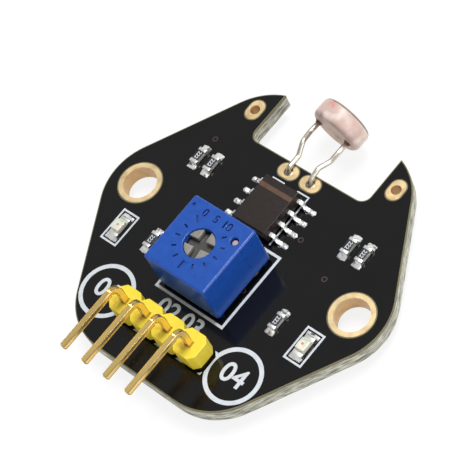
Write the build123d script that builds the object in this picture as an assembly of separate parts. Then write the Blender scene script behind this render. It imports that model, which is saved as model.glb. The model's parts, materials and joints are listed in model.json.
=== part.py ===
from build123d import *
import os
from math import cos, radians, sin

# A light sensor board. A hexagonal black circuit board carries a photoresistor on two bent leads
# over a notch, a comparator, a trimmer, a four-pin header, six resistors and two lamps.
# Millimetres, +Z up. The origin is midway between the mounting holes, on the laminate's underside,
# and the photoresistor is at the +Y end.

# Laminate
BOARD_ACROSS_FLATS = 28.6
BOARD_CORNER_RADIUS = 6.0
BOARD_THICKNESS = 1.6
NOTCH_WIDTH = 13.4
NOTCH_FLOOR_Y = 8.85
NOTCH_CORNER_RADIUS = 0.9

# Copper and solder mask, which stand equally high on both faces
LAYER_THICKNESS = 0.035
MASK_MARGIN = 0.12
MASK_SETBACK = 0.1
PLATING_WALL = 0.05

# Plated holes: drill sizes, pad sizes along X and Y, and places
MOUNT_SPACING = 25.0
MOUNT_HOLE = 3.2
MOUNT_RING = 4.1
PRONG_HOLE = 0.95
PRONG_PAD_X = 1.45
PRONG_PAD_Y = 2.05
PRONG_INSET = 1.5
PRONG_HOLE_Y = 11.36
SENSOR_PITCH = 2.54
SENSOR_SETBACK = 0.92
SENSOR_HOLE = 0.9
SENSOR_PAD_X = 2.05
SENSOR_PAD_Y = 1.4
THROUGH_HOLE_SLACK = 0.2
THROUGH_PAD_RIM = 0.35
VIA_HOLE = 0.3
VIA_PLACES = ((-9.4, 7.1), (4.15, 3.2), (8.35, 1.35), (3.0, -3.25))

# Soldered tails, which reach equally far under the board
TAIL_LENGTH = 1.2
SOLDER_HEIGHT = 0.95
SOLDER_TIP_RIM = 0.06
FILLET_HOLLOW = 0.35

# Header
PIN_PITCH = 2.54
PIN_COUNT = 4
PIN_WIDTH = 0.64
HEADER_Y = -10.1
HEADER_HEIGHT = 2.54
HEADER_CHAMFER = 0.5
HEADER_STANDOFF = 0.6
HEADER_FOOT = 1.5
PIN_RISE = 4.95
PIN_REACH = 6.85
PIN_BEND_RADIUS = 0.75
PIN_TIP = 0.16

# Trimmer housing
TRIMMER_X = -0.3
TRIMMER_Y = -3.1
TRIMMER_SIDE = 7.0
TRIMMER_HEIGHT = 4.9
TRIMMER_EDGE_RADIUS = 0.25
TRIMMER_RIM_CHAMFER = 0.12
TRIMMER_STANDOFF = 0.4
TRIMMER_FOOT = 0.8
TRIMMER_FOOT_INSET = 0.2
TRIMMER_TOP_WALL = 1.15
TRIMMER_SKIRT = 0.4
TRIMMER_ROW = 5.08
TRIMMER_ROW_OFFSET = 1.75
TRIMMER_MIDDLE_OFFSET = -0.79
TERMINAL_DIAMETER = 0.5
PEEP_HOLE = 0.75
PEEP_DEPTH = 0.3

# Trimmer rotor, its stop, seal, wiper and element
ROTOR_HEAD = 2.8
ROTOR_FLANGE = 4.6
ROTOR_FLANGE_THICKNESS = 1.0
ROTOR_RECESS = 0.15
ROTOR_SLOT_WIDTH = 0.76
ROTOR_SLOT_DEPTH = 0.6
ROTOR_REST_ANGLE = 7.0
ROTOR_TRAVEL = 240.0
SCALE_MIDDLE_ANGLE = -90.0
RUNNING_FIT = 0.04
STOP_REACH = 0.35
STOP_LUG_ANGLE = 30.0
STOP_SPARE_ANGLE = 4.0
SEAL_SECTION = 0.44
WIPER_THICKNESS = 0.15
WIPER_FINGER_WIDTH = 0.6
ELEMENT_THICKNESS = 1.3
TRACK_THICKNESS = 0.05
TRACK_WIDTH = 0.8
TRACK_RADIUS = 1.7

# Comparator
CHIP_Y = 3.88
CHIP_BODY_X = 3.9
CHIP_BODY_Y = 4.9
CHIP_BODY_HEIGHT = 1.4
CHIP_CLEARANCE = 0.12
CHIP_DRAFT = 7.0
LEADS_PER_SIDE = 4
LEAD_PITCH = 1.27
LEAD_SPAN = 6.0
LEAD_WIDTH = 0.41
LEAD_THICKNESS = 0.2
LEAD_FOOT = 0.5
LEAD_SHOULDER = 0.42
LEAD_ANCHOR = 0.4
LEAD_BEND_RADIUS = 0.15
CHIP_LAND_WIDTH = 0.6
CHIP_LAND_TOE = 0.7
CHIP_LAND_HEEL = 0.2

# Two-ended chips, which all lie along Y
SMALL_LENGTH = 1.6
SMALL_WIDTH = 0.82
RESISTOR_HEIGHT = 0.45
END_CAP_LENGTH = 0.32
END_CAP_WALL = 0.03
LAND_TUCK = 0.35
LAND_TOE = 0.55
LAND_SIDE = 0.07
LAMP_LAND_TOE = 0.42
RESISTOR_PLACES = ((-9.4, 4.85), (-7.8, 4.85), (8.3, 4.85), (9.9, 4.85), (7.55, -3.95), (-7.35, -3.9))
LAMP_INSET = 3.0
LAMP_Y = -4.45
LAMP_LENGTH = 2.0
LAMP_WIDTH = 1.25
LAMP_BASE_HEIGHT = 0.35
LAMP_LENS_LENGTH = 1.2
LAMP_LENS_HEIGHT = 0.45
LAMP_LENS_DRAFT = 8.0

# Photoresistor: a disc held upright over the notch
SENSOR_DIAMETER = 5.06
SENSOR_THICKNESS = 2.04
SENSOR_EDGE_RADIUS = 0.5
SENSOR_WALL = 0.38
SENSOR_REACH = 6.06
SENSOR_RISE = 0.38
SENSOR_YAW = 5.5
SENSOR_PITCH_UP = 4.0
SENSOR_ROLL = 6.0
SENSOR_LEAD_SPACING = 3.4
SENSOR_LEAD_RISE = 0.15
SENSOR_LEAD_DIAMETER = 0.48
SENSOR_LEAD_STRAIGHT = 1.2
SENSOR_LEAD_BEND = 0.42
SENSOR_WAVE_RADIUS = 0.9
WAVE_PLACES = (0.38, 0.7)
WAVE_SPREADS = (0.0, 0.8)
LEFT_LEAD_RISES = (0.4, 0.36, 0.88)
RIGHT_LEAD_RISES = (0.36, 0.66, 0.42)
STRIPE_COUNT = 5
STRIPE_WIDTH = 0.24
STRIPE_GAP = 0.42
STRIPE_LENGTH = 2.5

# White ink on the top face
INK_THICKNESS = 0.025
INK_GAP = 0.04
THIN_LINE = 0.14
LABEL_RING = 5.3
LABEL_LINE = 0.4
LABEL_SPACING = 15.1
LABEL_Y = -9.81
LAMP_MARK_LINE = 0.18
HEADER_MARK_INSET = 0.05
TRIMMER_MARK_LINE = 0.25
TRIMMER_MARK_GAP = 0.27
TRIMMER_MARK_SHIFT = (0.14, 0.05)
CHIP_MARK_X = 2.07
CHIP_MARK_GAP = 0.38
CHIP_MARK_REACH = 1.4

ON_FLOOR = (Align.CENTER, Align.CENTER, Align.MIN)
BOARD_TOP = BOARD_THICKNESS
LAND_TOP = BOARD_TOP + LAYER_THICKNESS


def block(size_x, size_y, size_z, x=0, y=0, z=0):
    """Box centred at x and y, with its underside at z."""
    return Pos(x, y, z) * Box(size_x, size_y, size_z, align=ON_FLOOR)


def post(diameter, height, x=0, y=0, z=0):
    """Upright cylinder with its underside at z."""
    return Pos(x, y, z) * Cylinder(diameter / 2, height, align=ON_FLOOR)


def pad_outline(size_x, size_y):
    """Pad with round ends, or a round pad where both sizes are the same."""
    if size_x == size_y:
        return Circle(size_x / 2)
    if size_x > size_y:
        return SlotOverall(size_x, size_y)
    return SlotOverall(size_y, size_x, rotation=90)


def mirrored_places(spacing, y):
    """Two places either side of the board's middle line."""
    return [(-spacing / 2, y), (spacing / 2, y)]


def flank_x(y):
    """How far the board's straight flank stands from its middle line at y."""
    slope = radians(30)
    return (BOARD_ACROSS_FLATS / 2 - abs(y) * sin(slope)) / cos(slope)


def lamp_places():
    """Lamp places, each set in from its flank."""
    return mirrored_places(2 * (flank_x(LAMP_Y) - LAMP_INSET), LAMP_Y)


def prong_places():
    """Hole places in the prongs, each set in from the notch's wall."""
    return mirrored_places(NOTCH_WIDTH + 2 * PRONG_INSET, PRONG_HOLE_Y)


def header_places():
    """Pin places, from the left end of the header."""
    first = -PIN_PITCH * (PIN_COUNT - 1) / 2
    return [(first + PIN_PITCH * index, HEADER_Y) for index in range(PIN_COUNT)]


def trimmer_places():
    """The trimmer's terminals: both ends of its element, then the wiper's."""
    row_y = TRIMMER_Y + TRIMMER_ROW_OFFSET
    left = (TRIMMER_X - TRIMMER_ROW / 2, row_y)
    right = (TRIMMER_X + TRIMMER_ROW / 2, row_y)
    middle = (TRIMMER_X, TRIMMER_Y + TRIMMER_MIDDLE_OFFSET)
    return [left, right, middle]


def pin_drill():
    """Hole that takes a square pin across its corners."""
    return PIN_WIDTH * 2 ** 0.5 + THROUGH_HOLE_SLACK / 2


def hole_kinds():
    """Each kind of plated hole: its places, drill, and pad sizes along X and Y."""
    sensor_y = NOTCH_FLOOR_Y - SENSOR_SETBACK
    terminal_drill = TERMINAL_DIAMETER + THROUGH_HOLE_SLACK
    pin_pad = pin_drill() + 2 * THROUGH_PAD_RIM
    terminal_pad = terminal_drill + 2 * THROUGH_PAD_RIM
    return {
        "mounting": (mirrored_places(MOUNT_SPACING, 0), MOUNT_HOLE, MOUNT_RING, MOUNT_RING),
        "prong": (prong_places(), PRONG_HOLE, PRONG_PAD_X, PRONG_PAD_Y),
        "sensor": (mirrored_places(SENSOR_PITCH, sensor_y), SENSOR_HOLE, SENSOR_PAD_X, SENSOR_PAD_Y),
        "header": (header_places(), pin_drill(), pin_pad, pin_pad),
        "trimmer": (trimmer_places(), terminal_drill, terminal_pad, terminal_pad),
    }


def board_outline():
    """Hexagon with rounded corners, less the notch between its two prongs."""
    hexagon = RegularPolygon(BOARD_ACROSS_FLATS / 2, 6, major_radius=False)
    hexagon = fillet(hexagon.vertices(), BOARD_CORNER_RADIUS)
    notch_depth = BOARD_ACROSS_FLATS / 2 - NOTCH_FLOOR_Y + 2 * NOTCH_CORNER_RADIUS
    notch = RectangleRounded(NOTCH_WIDTH, notch_depth, NOTCH_CORNER_RADIUS)
    return hexagon - Pos(0, NOTCH_FLOOR_Y + notch_depth / 2) * notch


def circuit_board():
    """Glass-fibre laminate, drilled for the plated holes and the vias."""
    board = extrude(board_outline(), BOARD_THICKNESS)
    for places, drill, pad_x, pad_y in hole_kinds().values():
        for x, y in places:
            board -= post(drill + 2 * PLATING_WALL, BOARD_THICKNESS, x, y)
    for x, y in VIA_PLACES:
        board -= post(VIA_HOLE + 2 * PLATING_WALL, BOARD_THICKNESS, x, y)
    return board


def land_places():
    """Copper lands of every soldered chip: centre, size along X and size along Y."""
    lands = []
    foot_edge = LEAD_SPAN / 2 - LEAD_FOOT - CHIP_LAND_HEEL
    land_x = LEAD_SPAN / 2 + CHIP_LAND_TOE - foot_edge
    for side in (-1, 1):
        for y in lead_rows():
            lands.append((side * (foot_edge + land_x / 2), y, land_x, CHIP_LAND_WIDTH))
    for x, y, length, width, toe in two_ended_chips():
        middle = length / 2 + (toe - LAND_TUCK) / 2
        for side in (-1, 1):
            lands.append((x, y + side * middle, width + 2 * LAND_SIDE, LAND_TUCK + toe))
    return lands


def two_ended_chips():
    """Place, length and width of each resistor and each lamp, and how far its lands stand out."""
    chips = [(x, y, SMALL_LENGTH, SMALL_WIDTH, LAND_TOE) for x, y in RESISTOR_PLACES]
    return chips + [(x, y, LAMP_LENGTH, LAMP_WIDTH, LAMP_LAND_TOE) for x, y in lamp_places()]


def chip_lands():
    """Copper lands, one solid each."""
    lands = []
    for x, y, size_x, size_y in land_places():
        lands.append(block(size_x, size_y, LAYER_THICKNESS, x, y, BOARD_TOP))
    return Compound(children=lands)


def solder_mask(underside, with_lands):
    """Mask layer, just short of the laminate's edge and open around every pad and chip land."""
    openings = []
    for places, drill, pad_x, pad_y in hole_kinds().values():
        opening = pad_outline(pad_x + 2 * MASK_MARGIN, pad_y + 2 * MASK_MARGIN)
        for x, y in places:
            openings.append(Pos(x, y) * opening)
    if with_lands:
        for x, y, size_x, size_y in land_places():
            openings.append(Pos(x, y) * Rectangle(size_x + MASK_MARGIN, size_y + MASK_MARGIN))
    outline = offset(board_outline(), -MASK_SETBACK)
    return Pos(0, 0, underside) * extrude(outline - openings, LAYER_THICKNESS)


def plated_hole(x, y, drill, pad_x, pad_y):
    """Lining of one hole, with a pad on each face of the laminate."""
    height = BOARD_THICKNESS + 2 * LAYER_THICKNESS
    pad = extrude(pad_outline(pad_x, pad_y), LAYER_THICKNESS)
    lining = post(drill + 2 * PLATING_WALL, height, 0, 0, -LAYER_THICKNESS)
    lining += Pos(0, 0, BOARD_TOP) * pad + Pos(0, 0, -LAYER_THICKNESS) * pad
    return Pos(x, y) * (lining - post(drill, height, 0, 0, -LAYER_THICKNESS))


def plated_holes(kind):
    """Every lining of one kind, from the left."""
    places, drill, pad_x, pad_y = hole_kinds()[kind]
    return [plated_hole(x, y, drill, pad_x, pad_y) for x, y in places]


def vias():
    """Linings of the small holes that the mask covers on both faces."""
    outer = VIA_HOLE + 2 * PLATING_WALL
    linings = []
    for x, y in VIA_PLACES:
        linings.append(post(outer, BOARD_THICKNESS, x, y) - post(VIA_HOLE, BOARD_THICKNESS, x, y))
    return Compound(children=linings)


def frame_mark(size_x, size_y, line, x, y):
    """Rectangular frame that is this large inside."""
    outer = Rectangle(size_x + 2 * line, size_y + 2 * line)
    return Pos(x, y) * (outer - Rectangle(size_x, size_y))


def chip_marks():
    """Line beside the comparator's right-hand leads, and a short one off each of its +Y corners."""
    end_y = CHIP_Y + CHIP_BODY_Y / 2 + CHIP_MARK_GAP + THIN_LINE / 2
    low_y = CHIP_Y - CHIP_BODY_Y / 2
    upright = Pos(CHIP_MARK_X, (end_y + low_y) / 2) * Rectangle(THIN_LINE, end_y - low_y + THIN_LINE)
    marks = [upright]
    for x, y in mirrored_places(2 * CHIP_MARK_X - CHIP_MARK_REACH + THIN_LINE, end_y):
        marks.append(Pos(x, y) * Rectangle(CHIP_MARK_REACH, THIN_LINE))
    return marks


def silkscreen():
    """Printed rings, frames and lines, less what would lie under the header."""
    ring = Circle(LABEL_RING / 2) - Circle(LABEL_RING / 2 - LABEL_LINE)
    marks = [Pos(x, y) * ring for x, y in mirrored_places(LABEL_SPACING, LABEL_Y)]
    lamp_x = LAMP_WIDTH + 2 * LAND_SIDE + MASK_MARGIN + 2 * INK_GAP
    lamp_y = LAMP_LENGTH + 2 * LAMP_LAND_TOE + MASK_MARGIN + 2 * INK_GAP
    for x, y in lamp_places():
        marks.append(frame_mark(lamp_x, lamp_y, LAMP_MARK_LINE, x, y))
    shift_x, shift_y = TRIMMER_MARK_SHIFT
    trimmer_size = TRIMMER_SIDE + 2 * TRIMMER_MARK_GAP
    trimmer_place = (TRIMMER_X + shift_x, TRIMMER_Y + shift_y)
    marks.append(frame_mark(trimmer_size, trimmer_size, TRIMMER_MARK_LINE, *trimmer_place))
    header_x = PIN_PITCH * PIN_COUNT - 2 * (HEADER_MARK_INSET + THIN_LINE)
    header_y = PIN_PITCH - 2 * (HEADER_MARK_INSET + THIN_LINE)
    marks.append(frame_mark(header_x, header_y, THIN_LINE, 0, HEADER_Y))
    ink = Sketch() + marks + chip_marks() - offset(header_outline(), INK_GAP, kind=Kind.INTERSECTION)
    return Pos(0, 0, LAND_TOP) * extrude(ink, INK_THICKNESS)


def solder_cone(x, y, base_diameter, tail):
    """Solder under one pad, drawn down around the tail that it holds."""
    tip_diameter = tail + 2 * SOLDER_TIP_RIM
    top = -LAYER_THICKNESS
    cone = Cone(tip_diameter / 2, base_diameter / 2, SOLDER_HEIGHT, align=ON_FLOOR)
    return Pos(x, y, top - SOLDER_HEIGHT) * cone


def header_outline():
    """Four joined segments with cut corners."""
    segment = chamfer(Rectangle(PIN_PITCH, PIN_PITCH).vertices(), HEADER_CHAMFER)
    return Sketch() + [Pos(x, y) * segment for x, y in header_places()]


def header_housing():
    """Housing on one small foot under each segment, with a square hole for each pin."""
    outline = header_outline()
    feet = Sketch()
    for x, y in header_places():
        pin_hole = Pos(x, y) * Rectangle(PIN_WIDTH, PIN_WIDTH)
        outline -= pin_hole
        feet += Pos(x, y) * Rectangle(HEADER_FOOT, HEADER_FOOT) - pin_hole
    body = Pos(0, 0, LAND_TOP + HEADER_STANDOFF) * extrude(outline, HEADER_HEIGHT - HEADER_STANDOFF)
    return body + Pos(0, 0, LAND_TOP) * extrude(feet, HEADER_STANDOFF)


def header_pin(x, y):
    """Square pin: up through the housing, a right-angle bend, then a level run with a cut tip."""
    run_z = LAND_TOP + PIN_RISE
    path = FilletPolyline((x, y, -TAIL_LENGTH), (x, y, run_z), (x, y - PIN_REACH, run_z),
                          radius=PIN_BEND_RADIUS)
    section = Plane((x, y, -TAIL_LENGTH)) * Rectangle(PIN_WIDTH, PIN_WIDTH)
    pin = sweep(section, path)
    tip = pin.faces().sort_by(Axis.Y)[0]
    return chamfer(tip.edges(), PIN_TIP)


def header_solder():
    """Solder of the header's pins, one solid each."""
    places, drill, pad_x, pad_y = hole_kinds()["header"]
    joints = []
    for x, y in places:
        cone = solder_cone(x, y, pad_x, PIN_WIDTH * 2 ** 0.5)
        joints.append(cone - block(PIN_WIDTH, PIN_WIDTH, TAIL_LENGTH, x, y, -TAIL_LENGTH))
    return Compound(children=joints)


def trimmer_levels():
    """Heights inside the trimmer: its underside, element, wiper, flange, ceiling and top."""
    underside = LAND_TOP + TRIMMER_STANDOFF
    top = LAND_TOP + TRIMMER_HEIGHT
    ceiling = top - TRIMMER_TOP_WALL
    flange_top = ceiling - RUNNING_FIT
    flange_bottom = flange_top - ROTOR_FLANGE_THICKNESS
    element_top = underside + ELEMENT_THICKNESS
    return {"underside": underside, "element_top": element_top, "flange_bottom": flange_bottom,
            "flange_top": flange_top, "ceiling": ceiling, "top": top}


def sector(radius, height, middle, spread):
    """Upright wedge of a disc, spread either side of its middle angle."""
    wedge = Cylinder(radius, height, arc_size=spread, align=(Align.NONE, Align.NONE, Align.MIN))
    return Rot(0, 0, middle - spread / 2) * wedge


def cavity_radius():
    """Chamber that the rotor's flange and its stop turn in."""
    return ROTOR_FLANGE / 2 + STOP_REACH + RUNNING_FIT


def stop_lug(levels):
    """Lug on the chamber's wall, opposite the middle of the scale, that ends the travel."""
    height = levels["ceiling"] - levels["element_top"]
    wedge = sector(cavity_radius(), height, SCALE_MIDDLE_ANGLE + 180, STOP_LUG_ANGLE)
    inner = Cylinder(ROTOR_FLANGE / 2 + RUNNING_FIT, height, align=ON_FLOOR)
    return Pos(0, 0, levels["element_top"]) * (wedge - inner)


def trimmer_housing():
    """Square moulded box: shaft hole and peep hole above, chamber, and a pocket for the element."""
    levels = trimmer_levels()
    height = levels["top"] - levels["underside"]
    corner = TRIMMER_SIDE / 2 - TRIMMER_FOOT_INSET - TRIMMER_FOOT / 2
    outer = extrude(RectangleRounded(TRIMMER_SIDE, TRIMMER_SIDE, TRIMMER_EDGE_RADIUS), height)
    outer = chamfer(outer.faces().sort_by(Axis.Z)[-1].edges(), TRIMMER_RIM_CHAMFER)
    box = Pos(0, 0, levels["underside"]) * outer
    for side_x in (-1, 1):
        for side_y in (-1, 1):
            foot = RectangleRounded(TRIMMER_FOOT, TRIMMER_FOOT, TRIMMER_EDGE_RADIUS)
            foot = extrude(foot, levels["underside"] - LAND_TOP)
            box += Pos(side_x * corner, side_y * corner, LAND_TOP) * foot
    pocket = TRIMMER_SIDE - 2 * TRIMMER_SKIRT
    box -= block(pocket, pocket, ELEMENT_THICKNESS, 0, 0, levels["underside"])
    chamber_height = levels["ceiling"] - levels["element_top"]
    box -= post(2 * cavity_radius(), chamber_height, 0, 0, levels["element_top"])
    box += stop_lug(levels)
    box -= post(ROTOR_HEAD + 2 * RUNNING_FIT, TRIMMER_TOP_WALL, 0, 0, levels["ceiling"])
    box -= post(seal_outer_diameter(), SEAL_SECTION, 0, 0, levels["ceiling"])
    box = Pos(TRIMMER_X, TRIMMER_Y) * box
    left, right, middle = trimmer_places()
    peep_height = levels["top"] - levels["element_top"]
    terminal_height = peep_height - PEEP_DEPTH
    box -= post(TERMINAL_DIAMETER, terminal_height, *left, levels["element_top"])
    box -= post(TERMINAL_DIAMETER, terminal_height, *right, levels["element_top"])
    box -= post(PEEP_HOLE, 2 * PEEP_DEPTH, *right, levels["top"] - 2 * PEEP_DEPTH)
    return box


def seal_outer_diameter():
    """The seal ring lies around the shaft with a running fit."""
    return ROTOR_HEAD + 2 * RUNNING_FIT + 2 * SEAL_SECTION


def trimmer_seal():
    """Square-section ring in the groove over the rotor's flange."""
    z = trimmer_levels()["ceiling"]
    shaft = post(ROTOR_HEAD + 2 * RUNNING_FIT, SEAL_SECTION, TRIMMER_X, TRIMMER_Y, z)
    return post(seal_outer_diameter(), SEAL_SECTION, TRIMMER_X, TRIMMER_Y, z) - shaft


def trimmer_rotor():
    """Shaft head with a cross slot, flange, and the stop that meets the lug at both ends."""
    levels = trimmer_levels()
    head_top = levels["top"] - ROTOR_RECESS
    rotor = post(ROTOR_HEAD, head_top - levels["flange_bottom"], 0, 0, levels["flange_bottom"])
    rotor += post(ROTOR_FLANGE, ROTOR_FLANGE_THICKNESS, 0, 0, levels["flange_bottom"])
    stop_angle = 360 - ROTOR_TRAVEL - STOP_LUG_ANGLE - 2 * STOP_SPARE_ANGLE
    stop = sector(ROTOR_FLANGE / 2 + STOP_REACH, ROTOR_FLANGE_THICKNESS, SCALE_MIDDLE_ANGLE, stop_angle)
    rotor += Pos(0, 0, levels["flange_bottom"]) * stop
    slot_z = head_top - ROTOR_SLOT_DEPTH
    for turn in (0, 90):
        arm = block(ROTOR_HEAD, ROTOR_SLOT_WIDTH, ROTOR_SLOT_DEPTH, 0, 0, slot_z)
        rotor -= Rot(0, 0, turn) * arm
    return Pos(TRIMMER_X, TRIMMER_Y) * Rot(0, 0, ROTOR_REST_ANGLE) * rotor


def trimmer_wiper():
    """Spring plate under the flange, with two bent fingers that reach the track."""
    levels = trimmer_levels()
    plate_z = levels["flange_bottom"] - WIPER_THICKNESS
    contact_z = levels["element_top"] + TRACK_THICKNESS + RUNNING_FIT
    plate = post(2 * TRACK_RADIUS + WIPER_FINGER_WIDTH, WIPER_THICKNESS, 0, 0, plate_z)
    start = (0, WIPER_THICKNESS / 2 + plate_z)
    heel = (TRACK_RADIUS - WIPER_FINGER_WIDTH, contact_z + WIPER_THICKNESS / 2)
    toe = (TRACK_RADIUS + WIPER_FINGER_WIDTH / 2, contact_z + WIPER_THICKNESS / 2)
    profile = Plane.XZ * make_face(offset_band([start, heel, toe], WIPER_THICKNESS))
    finger = extrude(profile, WIPER_FINGER_WIDTH / 2, both=True)
    wiper = plate + finger + Rot(0, 0, 180) * finger
    return Pos(TRIMMER_X, TRIMMER_Y) * Rot(0, 0, ROTOR_REST_ANGLE) * wiper


def offset_band(points, thickness):
    """Closed outline of a strip whose middle line runs through the points."""
    upper = [(x, z + thickness / 2) for x, z in points]
    lower = [(x, z - thickness / 2) for x, z in reversed(points)]
    return Polyline(upper + lower, close=True)


def trimmer_element():
    """Ceramic base with the resistive track on it, drilled for the three terminals."""
    levels = trimmer_levels()
    side = TRIMMER_SIDE - 2 * TRIMMER_SKIRT
    base = block(side, side, ELEMENT_THICKNESS, 0, 0, levels["underside"])
    track = sector(TRACK_RADIUS + TRACK_WIDTH / 2, TRACK_THICKNESS, SCALE_MIDDLE_ANGLE, ROTOR_TRAVEL)
    track -= post(2 * TRACK_RADIUS - TRACK_WIDTH, TRACK_THICKNESS)
    base += Pos(0, 0, levels["element_top"]) * track
    base = Pos(TRIMMER_X, TRIMMER_Y) * base
    for x, y in trimmer_places():
        base -= post(TERMINAL_DIAMETER, ELEMENT_THICKNESS, x, y, levels["underside"])
    return base


def trimmer_terminals():
    """Round wires: the two outer ones rise to the peep hole's floor, the middle one to the element."""
    levels = trimmer_levels()
    outer_top = levels["top"] - PEEP_DEPTH
    tops = [outer_top, outer_top, levels["element_top"]]
    terminals = []
    for (x, y), top in zip(trimmer_places(), tops):
        terminals.append(post(TERMINAL_DIAMETER, top + TAIL_LENGTH, x, y, -TAIL_LENGTH))
    return terminals


def trimmer_solder():
    """Solder of the trimmer's terminals, one solid each."""
    places, drill, pad_x, pad_y = hole_kinds()["trimmer"]
    joints = []
    for x, y in places:
        cone = solder_cone(x, y, pad_x, TERMINAL_DIAMETER)
        joints.append(cone - post(TERMINAL_DIAMETER, TAIL_LENGTH, x, y, -TAIL_LENGTH))
    return Compound(children=joints)


def lead_rows():
    """Places along Y of the comparator's leads, from the +Y end."""
    first = CHIP_Y + LEAD_PITCH * (LEADS_PER_SIDE - 1) / 2
    return [first - LEAD_PITCH * index for index in range(LEADS_PER_SIDE)]


def lead_plane():
    """Height at which the leads leave the comparator, halfway up its body."""
    return LAND_TOP + CHIP_CLEARANCE + CHIP_BODY_HEIGHT / 2


def comparator_lead(side, y):
    """Gull-wing lead: a level shoulder, a slanted drop and a level foot on its land."""
    foot_z = LAND_TOP + LEAD_THICKNESS / 2
    tip = LEAD_SPAN / 2
    body_edge = CHIP_BODY_X / 2
    points = [(body_edge - LEAD_ANCHOR, 0, lead_plane()), (body_edge + LEAD_SHOULDER, 0, lead_plane()),
              (tip - LEAD_FOOT, 0, foot_z), (tip, 0, foot_z)]
    path = FilletPolyline(*points, radius=LEAD_BEND_RADIUS)
    section = Plane(points[0], x_dir=(0, 1, 0), z_dir=(1, 0, 0)) * Rectangle(LEAD_WIDTH, LEAD_THICKNESS)
    lead = sweep(section, path)
    if side < 0:
        lead = Rot(0, 0, 180) * lead
    return Pos(0, y) * lead


def comparator_leads():
    """Four leads down the left side, then four up the right side."""
    rows = lead_rows()
    left = [comparator_lead(-1, y) for y in rows]
    return left + [comparator_lead(1, y) for y in reversed(rows)]


def comparator_body():
    """Moulded body, drafted above and below the plane of its leads, which it grips."""
    outline = Rectangle(CHIP_BODY_X, CHIP_BODY_Y)
    half = extrude(outline, CHIP_BODY_HEIGHT / 2, taper=CHIP_DRAFT)
    body = half + mirror(half, Plane.XY)
    body = Pos(0, CHIP_Y, lead_plane()) * body
    return body - comparator_leads()


def toe_fillet(width, length, height):
    """Solder drawn up from a land to the end of what stands on it, hollow towards the land's end."""
    knee = (length * FILLET_HOLLOW, height * FILLET_HOLLOW)
    outline = Polyline((0, 0), (length, 0), knee, (0, height), close=True)
    return extrude(Plane.XZ * make_face(outline), width / 2, both=True)


def chip_solder():
    """Solder at the toe of every lead and at the end of every two-ended chip."""
    joints = []
    toe = toe_fillet(LEAD_WIDTH, CHIP_LAND_TOE, LEAD_THICKNESS)
    for y in lead_rows():
        joints.append(Pos(LEAD_SPAN / 2, y, LAND_TOP) * toe)
        joints.append(Pos(-LEAD_SPAN / 2, y, LAND_TOP) * Rot(0, 0, 180) * toe)
    for x, y, length, width, land_toe in two_ended_chips():
        end = toe_fillet(width, land_toe, LAMP_BASE_HEIGHT)
        joints.append(Pos(x, y + length / 2, LAND_TOP) * Rot(0, 0, 90) * end)
        joints.append(Pos(x, y - length / 2, LAND_TOP) * Rot(0, 0, -90) * end)
    return Compound(children=joints)


def chip_core(x, y, length, width, height):
    """Ceramic of a two-ended chip, less deep than its end caps, with its coat between them."""
    wall = END_CAP_WALL
    bar = block(width - 2 * wall, length - 2 * wall, height - 2 * wall, x, y, LAND_TOP + wall)
    coat = block(width - 2 * wall, length - 2 * END_CAP_LENGTH, wall, x, y, LAND_TOP + height - wall)
    return bar + coat


def end_caps(x, y, length, width, height, core):
    """Metal caps wrapped round both ends of a chip."""
    caps = []
    for side in (-1, 1):
        middle = y + side * (length - END_CAP_LENGTH) / 2
        caps.append(block(width, END_CAP_LENGTH, height, x, middle, LAND_TOP) - core)
    return caps


def lamp_base(x, y):
    """White base that the lamp's lens is moulded on."""
    return chip_core(x, y, LAMP_LENGTH, LAMP_WIDTH, LAMP_BASE_HEIGHT)


def lamp_lens(x, y):
    """Clear block over the base, between the end caps."""
    lens = extrude(Rectangle(LAMP_WIDTH, LAMP_LENS_LENGTH), LAMP_LENS_HEIGHT, taper=LAMP_LENS_DRAFT)
    return Pos(x, y, LAND_TOP + LAMP_BASE_HEIGHT) * lens


def sensor_plane():
    """Plane at the disc's middle. Its z axis is the way the front looks, and its y axis points down."""
    yaw = radians(SENSOR_YAW)
    pitch = radians(SENSOR_PITCH_UP)
    roll = radians(SENSOR_ROLL)
    front = (sin(yaw) * cos(pitch), cos(yaw) * cos(pitch), sin(pitch))
    middle = (0, NOTCH_FLOOR_Y - SENSOR_SETBACK + SENSOR_REACH, BOARD_TOP + SENSOR_RISE)
    return Plane(middle, x_dir=(cos(roll), 0, -sin(roll)), z_dir=front)


def disc(diameter, thickness, z):
    """Flat cylinder on the photoresistor's axis, with its back at z."""
    return sensor_plane() * Pos(0, 0, z) * Cylinder(diameter / 2, thickness, align=ON_FLOOR)


def disc_levels():
    """Back and front of the ceramic disc, measured from the photoresistor's middle."""
    back = -SENSOR_THICKNESS / 2 + SENSOR_WALL
    front = SENSOR_THICKNESS / 2 - SENSOR_WALL
    return back, front


def sensor_disc():
    """Ceramic disc inside the coat."""
    back, front = disc_levels()
    return disc(SENSOR_DIAMETER - 2 * SENSOR_WALL, front - back, back)


def serpentine():
    """Zigzag stripe: upright bars joined in turn at the top and at the bottom."""
    step = STRIPE_WIDTH + STRIPE_GAP
    first = -step * (STRIPE_COUNT - 1) / 2
    middle = (STRIPE_LENGTH - STRIPE_WIDTH) / 2
    stripe = Sketch()
    for index in range(STRIPE_COUNT):
        x = first + step * index
        stripe += Pos(x, 0) * Rectangle(STRIPE_WIDTH, STRIPE_LENGTH)
        if index:
            end = middle if index % 2 else -middle
            stripe += Pos(x - step / 2, end) * Rectangle(step, STRIPE_WIDTH)
    reach = SENSOR_DIAMETER / 2 - SENSOR_WALL - STRIPE_LENGTH / 2 + STRIPE_WIDTH
    for x, side in ((first, -1), (-first, 1)):
        stripe += Pos(x, side * (STRIPE_LENGTH + reach) / 2) * Rectangle(STRIPE_WIDTH, reach)
    return stripe


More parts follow.
